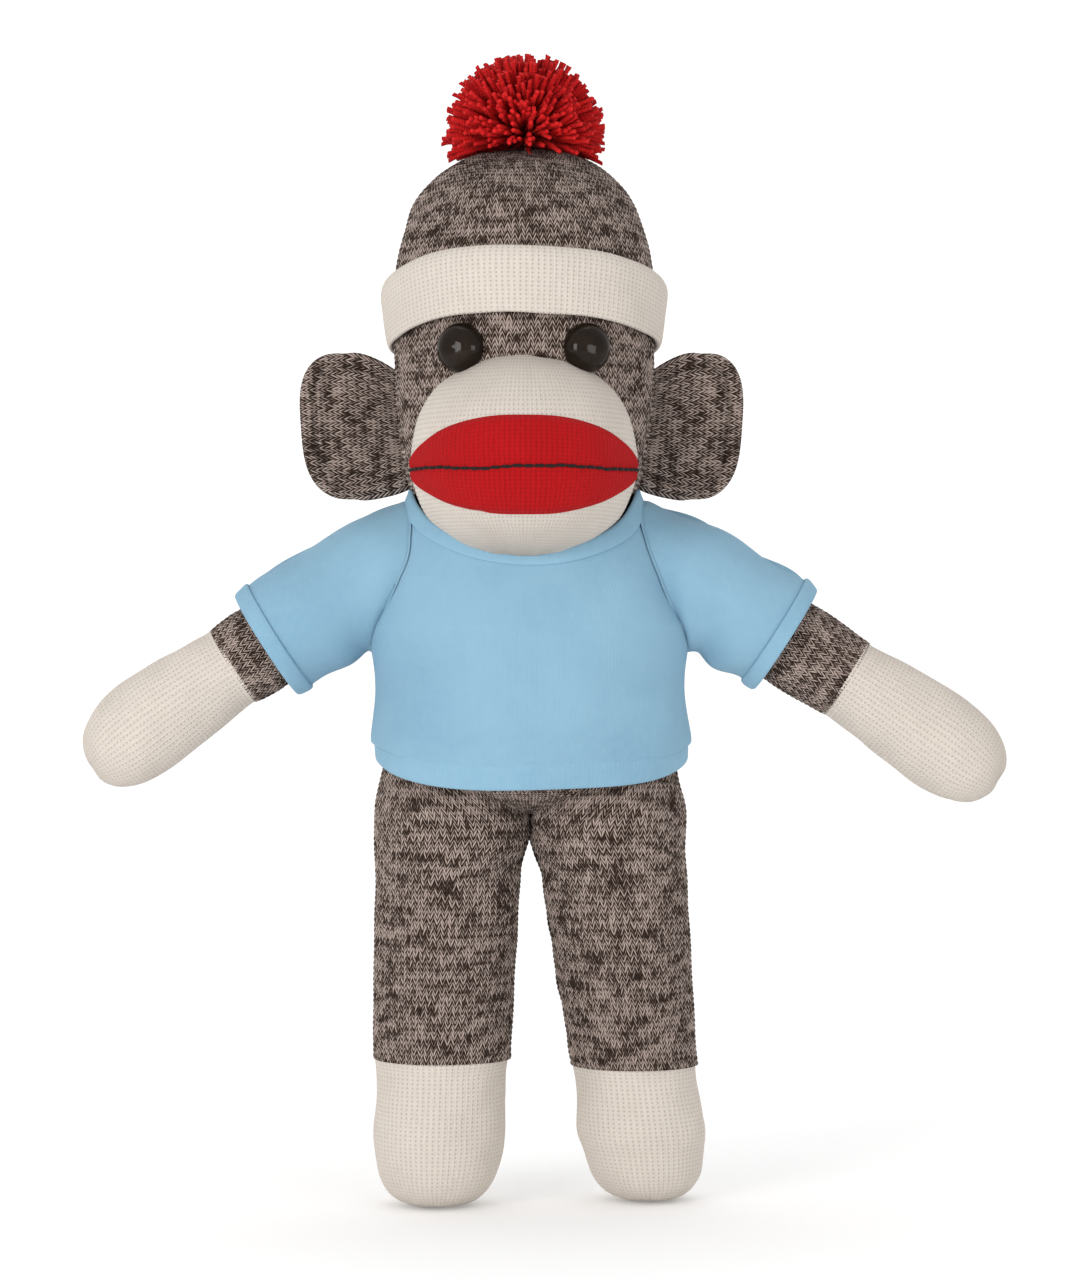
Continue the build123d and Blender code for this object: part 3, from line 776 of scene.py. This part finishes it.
def make_ear(side):
    """A flat padded ear: two panels in one skin, its wales running outward, topstitched inside the rim."""
    sign = SIDE[side]
    low, high = box(f"{side}_ear_front")
    root = joint_at(f"{side}_ear_fold")
    width = (high[0] - root[0]) if sign > 0 else (root[0] - low[0])
    tall, centre_z = (high[2] - low[2]) / 2, (high[2] + low[2]) / 2
    outward = np.array([sign, 0, 0.0])
    upward = np.array([sign * math.sin(EAR_LEAN), 0, math.cos(EAR_LEAN)])
    rows, cols = 132, 168
    trim = 6.5 if side == "right" else 8.5  # the ears curl in a little at their tips

    def panel(front):
        w = np.linspace(-1, 1, cols)[None, :]  # across the ear's height
        s = np.linspace(0, 1, rows)[:, None]  # outward
        corner = 1 - (1 - np.abs(w) ** 3.2) ** 0.5
        reach = (width + EAR_IN - trim) * (1 - 0.42 * corner)
        out = -EAR_IN + s * reach
        half = tall * (0.76 + 0.29 * np.sin(np.clip(s * 1.25, 0, 1) * math.pi * 0.60)) + 0 * w
        z = w * half
        tuck = abs(root[0] - NECK[0]) - head_radius(centre_z + z) + 0.5
        out = out - tuck * (1 - smooth01(s * 1.6))
        rim = np.minimum((1 - s) * reach, (1 - np.abs(w)) * half * 1.1)
        puff = 2.75 * np.clip(1 - (1 - np.clip(rim / 4.0, 0, 1)) ** 2, 0, 1) ** 0.5
        seam = np.exp(-(((rim - 5.2) / 0.7) ** 2)) * 1.5 - np.exp(-(((rim - 7.0) / 0.9) ** 2)) * 1.1
        inner = np.clip((rim - 7.0) / 8.0, 0, 1)
        y = puff - seam + 0.9 * smooth01(inner) * (1 - smooth01(s * 0.6))
        u, v = (w + 1) * tall / WALE + 0 * s, out / COURSE + 0 * w
        y = y + stitch_height(u, v) * KNIT_RELIEF * np.clip(rim / 1.5, 0, 1)
        cup = 3.0 * (s**1.6) * (0.4 + 0.6 * w**2) - 1.0
        face = -1 if front else 1
        depth = face * y - cup
        points = root + out[..., None] * outward + z[..., None] * upward
        points = points + np.array([0, 0, centre_z - root[2]]) + depth[..., None] * BACK
        return points, u, v

    for front in (True, False):
        points, u, v = panel(front)
        if front == (sign > 0):
            points, u, v = points[:, ::-1], u[:, ::-1], v[:, ::-1]
        name = "front" if front else "back"
        ear = piece_from_grid(f"{side}_ear_{name}_knit", points, u, v, MARLED, closed=False)
        nodes = [f"{side}_ear_front", f"{side}_ear_batting"] if front else [f"{side}_ear_back"]
        finish_piece(ear, f"{side}_ear", nodes)


# Body: trousers of knit, legs and feet

HEM_LOW = box("shirt_hem")[0]
HEM_FRONT, HEM_SIDE = HEM_LOW[2] - 1.5, HEM_LOW[2] + 7.0
CROTCH = 133.0
TORSO_W, TORSO_D = 55.3, 38.2
BODY_TOP = 168.0  # the skin runs up under the shirt to here
UNDER_SHIRT = 3.4  # and is drawn in this much there
CLOSING_Z = 158.0  # below here each half of the body starts to close into a leg
LEG_R, LEG_WALES_R = 25.6, 25.4
LEG_DEEP = 27.5  # half the depth of a leg where it starts


def leg_axis(side):
    return unit(mount_at(f"{side}_sole") - HIPS[side])


def make_leg(side):
    """From the waist down: half the body's tube closes into a leg at the crotch."""
    sign, hip, way = SIDE[side], HIPS[side], leg_axis(side)
    seam_z = box(f"{side}_leg_skin")[0][2] + 2.0
    ankle_r = 24.3 if side == "right" else 22.6

    def section(t, phi):
        z = BODY_TOP + (seam_z - 1.0 - BODY_TOP) * t + 0 * phi
        close = smooth01((CLOSING_Z - z) / (CLOSING_Z - CROTCH)) ** 0.8
        turn = (phi - 0.5) * 2  # -1 front middle or inner seam, 0 outer side, 1 back
        tuck = UNDER_SHIRT * smooth01((z - CROTCH) / (HEM_FRONT - CROTCH))
        half_x = BODY[0] + sign * (TORSO_W - tuck) * np.cos(turn * math.pi / 2)
        half_y = (TORSO_D - tuck) * np.sin(turn * math.pi / 2)
        part = smooth01((CROTCH - z) / 16.0)
        down = (z - hip[2]) / way[2]
        axis_x, axis_y = hip[0] + way[0] * down, way[1] * down
        r = LEG_R + (ankle_r - LEG_R) * smooth01((hip[2] - z) / (hip[2] - seam_z))
        full_r = TORSO_W / 2
        radius_x = full_r + (r - full_r) * part
        radius_y = LEG_DEEP + (r - LEG_DEEP) * part
        middle_x = BODY[0] + sign * full_r + (axis_x - BODY[0] - sign * full_r) * part
        ring_x = middle_x + sign * radius_x * np.cos(turn * math.pi)
        ring_y = axis_y * part + radius_y * np.sin(turn * math.pi)
        x = half_x + (ring_x - half_x) * close
        y = NECK[1] + half_y + (ring_y - half_y) * close
        return np.stack([x, y, z], axis=-1)

    def ordered(t, phi):
        return section(t, phi if sign < 0 else 1 - phi)

    leg = knit_tube(f"{side}_leg_knit", ordered, TAU * LEG_WALES_R, BODY_TOP - seam_z, MARLED,
                    caps=(False, False), lump=0.55, seed=11 + sign, closed=False)
    finish_piece(leg, None, [f"{side}_leg_skin", f"{side}_leg_stuffing"])
    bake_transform(leg)
    make_foot(side, seam_z, ankle_r, way)


def make_foot(side, seam_z, ankle_r, way):
    """A cream foot: gathered a little at the seam, fuller below, flattened where it stands."""
    hip = HIPS[side]
    foot_r = 22.6 if side == "right" else 21.4
    swell = 0.6 if side == "right" else 1.6
    outline = [
        (ankle_r - 2.2, seam_z + 2.5),
        (ankle_r - 0.5, seam_z + 0.6),
        (ankle_r - 0.9, seam_z - 2.0),
        (foot_r + 0.1, seam_z - 9.0),
        (foot_r + swell, seam_z * 0.52),
        (foot_r, seam_z * 0.36),
        (foot_r * 0.90, seam_z * 0.18),
        (foot_r * 0.72, seam_z * 0.065),
        (foot_r * 0.46, 0.45),
        (0.6, 0.35),
    ]
    line, length = curve_through(outline, CURVE_POINTS)

    def section(t, phi):
        r, z = at_share(line, t)
        down = (z - hip[2]) / way[2]
        angle = -phi * TAU
        toe = 1 + 0.09 * smooth01((seam_z * 0.75 - z) / seam_z) * (np.sin(angle) < 0) * np.sin(angle) ** 2
        bow = 0.035 * r * np.sin(angle) * smooth01((z - seam_z + 6) / 6)
        x = hip[0] + way[0] * down + r * np.cos(angle)
        y = hip[1] + way[1] * down + r * np.sin(angle) * toe
        return np.stack([x, y, z + bow], axis=-1)

    foot = knit_tube(f"{side}_foot_knit", section, TAU * foot_r, length, CREAM, fine=True, caps=(False, True),
                     lump=0.3, seed=21)
    finish_piece(foot, f"{side}_leg", [f"{side}_foot_skin"])


def oval(z, outline):
    """Half width and half depth at a height, from (height, half width, half depth) rows."""
    heights, wide, deep = np.array(outline).T
    return np.interp(z, heights, wide), np.interp(z, heights, deep)


BODY_ROWS = [  # height, half width and half depth
    (139.0, 6.0, 3.0),
    (141.0, 30.0, 18.0),
    (148.0, 47.0, 30.0),
    (160.0, 51.5, 35.0),
    (200.0, 52.0, 36.5),
    (225.0, 47.0, 32.0),
    (238.0, 40.0, 28.0),
    (246.0, 30.0, 24.0),
    (249.0, 12.0, 10.0),
]


def make_body():
    """The stuffed body inside the shirt, which also closes the seat between the legs."""
    line, length = curve_through(BODY_ROWS, CURVE_POINTS)

    def section(t, phi):
        z, a, b = at_share(line, t)
        angle = phi * TAU
        return np.stack([BODY[0] + a * np.cos(angle), NECK[1] + b * np.sin(angle), z + 0 * angle], axis=-1)

    body = knit_tube("body_knit", section, TAU * 44, length, MARLED, caps=(True, True), lump=0.3, seed=31)
    finish_piece(body, "torso", ["torso_skin", "torso_stuffing"])
    outline = [(17.0, NECK[2] - 18), (19.5, NECK[2] - 10), (21.0, NECK[2] - 2), (22.0, NECK[2] + 3)]
    section, length = turned_section(outline, HEAD_AXIS)
    neck = knit_tube("neck_gather", section, TAU * 20, length, MARLED, caps=(True, True), lump=0.2, seed=33)
    finish_piece(neck, "neck", ["neck_skin", "neck_stuffing"])


# Shirt

HEM_LAP = 7.0  # the cloth starts this far above the hem's lower edge
CLOTH_THICK = 0.9
SHIRT_ROWS = [  # height, half width and half depth
    (146.0, 54.0, 39.6),
    (158.0, 55.3, 40.8),
    (185.0, 56.0, 41.4),
    (205.0, 55.6, 41.0),
    (222.0, 52.6, 39.2),
    (236.0, 48.0, 37.0),
    (246.0, 42.6, 35.6),
    (252.0, 40.2, 34.6),
]


def shirt_surface(z, angle, grow=0.0):
    """A point of the shirt's body. angle 0 is the doll's left, -90 degrees the front."""
    a, b = oval(z, SHIRT_ROWS)
    ripple = 0.55 * np.sin(3 * angle + z * 0.05) + 0.35 * np.sin(7 * angle - z * 0.08)
    fade = 1 - smooth01((z - 215) / 25)
    extra = grow + ripple * fade
    middle = BODY[0] + (NECK[0] - BODY[0]) * smooth01((z - 225) / 25)
    x = middle + (a + extra) * np.cos(angle)
    y = NECK[1] + (b + extra) * np.sin(angle)
    return np.stack([x + 0 * z, y + 0 * z, z + 0 * angle], axis=-1)


def hem_z(angle):
    front = np.clip(-np.sin(angle), 0, 1) ** 1.2
    return HEM_SIDE + (HEM_FRONT - HEM_SIDE) * front + 0.6 * np.sin(angle * 4 + 1)


def neckline_z(angle):
    front = np.clip(-np.sin(angle), 0, 1) ** 1.6
    back = np.clip(np.sin(angle), 0, 1) ** 1.6
    return 250.0 - 22.0 * front - 7.0 * back


ARM_WAY = {s: unit(ELBOWS[s] - SHOULDERS[s]) for s in SIDE}


def cloth_folds(z, angle):
    """Soft drag lines from the armpits and a slack ridge over the hem."""
    side = np.cos(angle)
    drag = np.sin((z - 150) * 0.16 + np.abs(side) * 5.5) * np.abs(side) ** 3 * 1.1
    slack = np.exp(-(((z - 163) / 5) ** 2)) * 0.8
    return drag * smooth01((z - 150) / 20) * (1 - smooth01((z - 205) / 20)) + slack


def make_shirt_body():
    cols, rows = 420, 220
    angle = np.linspace(0, TAU, cols, endpoint=False)[None, :]
    t = np.linspace(0, 1, rows)[:, None]
    z = hem_z(angle) + HEM_LAP + (neckline_z(angle) - hem_z(angle) - HEM_LAP) * t
    points = shirt_surface(z, angle)
    points = points + normals(points, True) * cloth_folds(z, angle)[..., None]
    u = np.linspace(0, 1, cols + 1)[None, :] * 300
    shirt = piece_from_grid("shirt_body_cloth", points, u, t * 95, JERSEY, closed=True)
    solidify(shirt, CLOTH_THICK)
    finish_piece(shirt, "torso", ["shirt_front", "shirt_back"])


def solidify(obj, thickness):
    modifier = obj.modifiers.new("thickness", "SOLIDIFY")
    modifier.thickness = thickness * MM
    modifier.offset = -1.0


def make_band(name, outline_at, lift, material, cols=420):
    """A folded band round a line: a flattened, rounded section that stands off the cloth."""
    angle = np.linspace(0, TAU, cols, endpoint=False)[None, :]
    half_height, half_thick = lift
    turn = np.linspace(0, TAU, 40, endpoint=False)[:, None]
    up = half_height * np.sign(np.cos(turn)) * np.abs(np.cos(turn)) ** 0.6
    out = half_thick * np.sign(np.sin(turn)) * np.abs(np.sin(turn)) ** 0.75
    points = outline_at(angle, up, out)
    points = np.vstack([points, points[:1]])
    v = np.linspace(0, half_height * 1.2, len(points))[:, None]
    u = np.linspace(0, 1, cols + 1)[None, :] * 200
    return piece_from_grid(name, points, u, v, material, closed=True)


def close_rings(obj):
    """Welds the doubled first and last row of a band."""
    weld = obj.modifiers.new("weld", "WELD")
    weld.merge_threshold = 1e-6


def make_bands():
    def hem(angle, up, out):
        z = hem_z(angle) + 4.3 + up
        narrow = -0.5 + 0.25 * np.sin(angle * 23) * np.clip(up / 4, 0, 1)
        return shirt_surface(z, angle, narrow + out)

    band = make_band("shirt_hem_band", hem, (4.8, 0.95), RIB)
    close_rings(band)
    finish_piece(band, "torso", ["shirt_hem"])

    def collar(angle, up, out):
        z = neckline_z(angle) + 0.6 + up
        return shirt_surface(z, angle, 0.2 + out)

    band = make_band("shirt_neck_band", collar, (3.0, 1.1), RIB)
    close_rings(band)
    finish_piece(band, "torso", ["shirt_neckband_front", "shirt_neckband_back"])


def armhole(side, phi):
    """The raglan seam's loop on the shirt: from the collar down the front to the armpit and up behind."""
    sign = SIDE[side]
    theta = phi * TAU
    z = 223.0 + 26.5 * np.cos(theta)
    open_front = math.radians(42)
    spread = np.sin(theta) * open_front * (0.75 + 0.25 * np.cos(theta))
    angle = -spread if sign > 0 else math.pi + spread
    return shirt_surface(z, angle, 0.4)


def sleeve_section(side):
    """A section function for the sleeve, from the raglan seam (t = 0) to the arm's elbow end (t = 1)."""
    shoulder, elbow, way = SHOULDERS[side], ELBOWS[side], ARM_WAY[side]
    up = np.cross(way, BACK)
    up = up * np.sign(up[2])
    phase, size = (0.8, 1.2) if SIDE[side] > 0 else (2.2, 0.6)  # the two sleeves don't crease alike
    reach = np.linalg.norm(elbow - shoulder)

    def section(t, phi):
        theta = phi * TAU
        loop = armhole(side, phi)
        along = shoulder + way * (reach * (0.30 + 0.70 * t))[..., None]
        radius = 22.0 - 2.0 * t
        ring = along + (radius * np.cos(theta))[..., None] * up - (radius * np.sin(theta))[..., None] * BACK
        ease = smooth01(t * 1.15) ** 0.85
        straight = loop + (ring - loop) * ease[..., None]
        slack = 1.6 * np.sin(t * math.pi) * (0.6 + 0.4 * np.cos(theta))
        fold = np.sin(t * 15 + theta * 1.3 + phase) * np.sin(np.clip(t, 0, 1) * math.pi)
        outward = unit(ring - along)
        return straight + outward * (slack + fold * size)[..., None]

    return section


def make_sleeve(side):
    section = sleeve_section(side)
    rows, cols = 110, 260
    t = np.linspace(0, 0.90, rows)[:, None] + np.zeros((1, cols))
    phi = np.linspace(0, 1, cols, endpoint=False)[None, :] + np.zeros((rows, 1))
    points = section(t, phi)[:, :: SIDE[side]]
    # The raglan seam: a soft ridge with the cloth drawn in beside it
    ridge = np.exp(-(((t * 60 - 1.2) / 0.9) ** 2)) * 0.35 - np.exp(-(((t * 60 - 3.6) / 1.2) ** 2)) * 0.15
    points = points + normals(points, True) * ridge[..., None]
    u = np.linspace(0, 1, cols + 1)[None, :] * 150
    sleeve = piece_from_grid(f"{side}_sleeve_cloth", points, u, t[:, :1] * 60, JERSEY, closed=True)
    solidify(sleeve, CLOTH_THICK)
    finish_piece(sleeve, None, [f"{side}_sleeve"])
    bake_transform(sleeve)
    make_sleeve_cuff(side, section)


def make_sleeve_cuff(side, section):
    shoulder, way = SHOULDERS[side], ARM_WAY[side]
    cols = 260

    def ring(angle, up, out):
        phi = angle / TAU + 0 * up
        t = 0.925 - up * 0.0175 + 0 * angle
        at = section(t, phi)
        centre = shoulder + way * ((at - shoulder) @ way)[..., None]
        return at + unit(at - centre) * (out + 0.35)[..., None]

    band = make_band(f"{side}_sleeve_band", ring, (4.8, 1.0), RIB, cols)
    close_rings(band)
    finish_piece(band, f"{side}_arm", [f"{side}_sleeve_cuff"])


# Arms


UPPER_ARM_R, FOREARM_R, HAND_R = 15, 15.4, 16.2  # set how many wales each has


def make_arm(side):
    """Stuffed upper arm inside the sleeve, then the marled forearm and cream hand."""
    shoulder, elbow, way = SHOULDERS[side], ELBOWS[side], ARM_WAY[side]
    up = np.cross(BACK, way)
    reach = np.linalg.norm(elbow - shoulder)
    outline = [(6.0, -14.0), (15.5, -8.0), (17.2, 6.0), (15.6, 24.0), (14.4, 36.0), (12.0, reach - 5)]
    section, length = turned_section(outline, shoulder, up, BACK, way)
    upper = knit_tube(f"{side}_upper_arm_knit", section, TAU * UPPER_ARM_R, length, MARLED, lump=0.2, seed=41)
    nodes = [f"{side}_upper_arm_skin", f"{side}_upper_arm_stuffing"]
    finish_piece(upper, f"{side}_arm", nodes)
    low, high = box(f"{side}_hand_skin")
    skin_low, skin_high = box(f"{side}_forearm_skin")
    tip_x = low[0] if SIDE[side] < 0 else high[0]
    tip = (tip_x - elbow[0]) / way[0] - 1.5
    wrist_x = skin_low[0] if SIDE[side] < 0 else skin_high[0]
    wrist = (wrist_x - elbow[0]) / way[0] - 7.5
    outline = [(8.0, -13.0), (14.2, -7.0), (15.6, 3.0), (15.4, wrist * 0.6), (14.8, wrist + 0.5)]
    section, length = turned_section(outline, elbow, up, BACK, way)
    forearm = knit_tube(f"{side}_forearm_knit", section, TAU * FOREARM_R, length, MARLED, caps=(True, False),
                        lump=0.25, seed=43)
    nodes = [f"{side}_forearm_skin", f"{side}_forearm_stuffing"]
    finish_piece(forearm, f"{side}_forearm", nodes)
    make_hand(side, elbow, way, up, wrist, tip)


def make_hand(side, elbow, way, up, wrist, tip):
    length = tip - wrist
    outline = [
        (13.0, wrist - 2.5),
        (14.9, wrist - 0.4),
        (14.6, wrist + 2.5),
        (15.6, wrist + length * 0.22),
        (16.9, wrist + length * 0.48),
        (17.0, wrist + length * 0.64),
        (15.4, wrist + length * 0.80),
        (11.6, wrist + length * 0.92),
        (6.5, tip - 0.9),
        (0.7, tip),
    ]
    droop = 3.2 if side == "right" else 2.2

    def settle(x, y, s):
        far = np.clip((s - wrist) / length, 0, 1)
        # x is up across the hand: it hangs a little at the tip and is flatter front to back
        sag = droop * far**2
        return x * (1 + 0.03 * far) - sag * np.sign(up[2]), y * (1 - 0.05 * far)

    section, run = turned_section(outline, elbow, up, BACK, way, settle)
    hand = knit_tube(f"{side}_hand_knit", section, TAU * HAND_R, run, CREAM, fine=True, lump=0.35, seed=47)
    finish_piece(hand, f"{side}_forearm", [f"{side}_hand_skin"])


# Stage


def add_light(name, place, target, size, power, colour):
    data = bpy.data.lights.new(name, "AREA")
    data.shape, data.size, data.energy, data.color = "SQUARE", size, power, colour
    lamp = bpy.data.objects.new(name, data)
    lamp.location = place
    way = np.array(target) - np.array(place)
    lamp.rotation_euler = Vector(way).to_track_quat("-Z", "Y").to_euler()
    bpy.context.collection.objects.link(lamp)


def make_stage():
    """A pale sweep: floor, a soft bend and a backdrop."""
    rows = 60
    bend = [(-1.6, 0.0), (0.4, 0.0), (0.9, 0.01), (1.25, 0.22), (1.4, 0.7), (1.4, 2.4)]  # metres back and up
    profile, _ = curve_through(bend, rows)
    points = np.array([[(x, y, z) for x in (-3.0, 3.0)] for y, z in profile]) / MM
    material, tree, shader = new_material("backdrop")
    wires = Wires(tree)
    grain = wires.noise(wires.object_coords(), 3.0, 2.0)
    wires.link(wires.blend(grain, (0.86, 0.86, 0.86), (0.90, 0.90, 0.90)), shader.inputs["Base Color"])
    shader.inputs["Roughness"].default_value = 0.9
    shader.inputs["Emission Color"].default_value = (1.0, 1.0, 1.0, 1.0)
    shader.inputs["Emission Strength"].default_value = 0.16
    u, v = np.array([[0, 1.0]]), np.linspace(0, 1, rows)[:, None]
    floor = piece_from_grid("floor", points, u, v, material, closed=False)
    world = bpy.data.worlds.new("studio")
    world.use_nodes = True
    world.node_tree.nodes["Background"].inputs[0].default_value = (1.0, 1.0, 1.0, 1.0)
    world.node_tree.nodes["Background"].inputs[1].default_value = 0.75
    bpy.context.scene.world = world
    bpy.context.scene.view_settings.view_transform = "Standard"
    middle = (0, 0, 0.2)
    add_light("key", (-1.0, -1.4, 0.40), middle, 0.7, 15.0, (1.0, 0.97, 0.94))
    add_light("fill", (1.2, -1.3, 0.15), middle, 0.8, 11.0, (1.0, 0.95, 0.91))
    add_light("top", (0.0, 0.3, 1.6), middle, 0.9, 3.0, (1.0, 1.0, 1.0))


def make_camera():
    distance, height, seen = 1.25, 0.2002, 0.4504
    data = bpy.data.cameras.new("camera")
    data.sensor_fit = "VERTICAL"
    data.angle_y = 2 * math.atan(seen / 2 / distance)
    camera = bpy.data.objects.new("camera", data)
    camera.location = (0.0003, -distance, height)
    camera.rotation_euler = (math.pi / 2, 0, 0)
    bpy.context.collection.objects.link(camera)
    bpy.context.scene.camera = camera


make_stage()
make_camera()
make_head()
make_cuff()
make_pompom()
make_muzzle()
make_lips()
make_mouth()
make_body()
make_shirt_body()
make_bands()
for one in SIDE:
    make_eye(one)
    make_ear(one)
    make_leg(one)
    make_sleeve(one)
    make_arm(one)

bpy.context.view_layer.update()
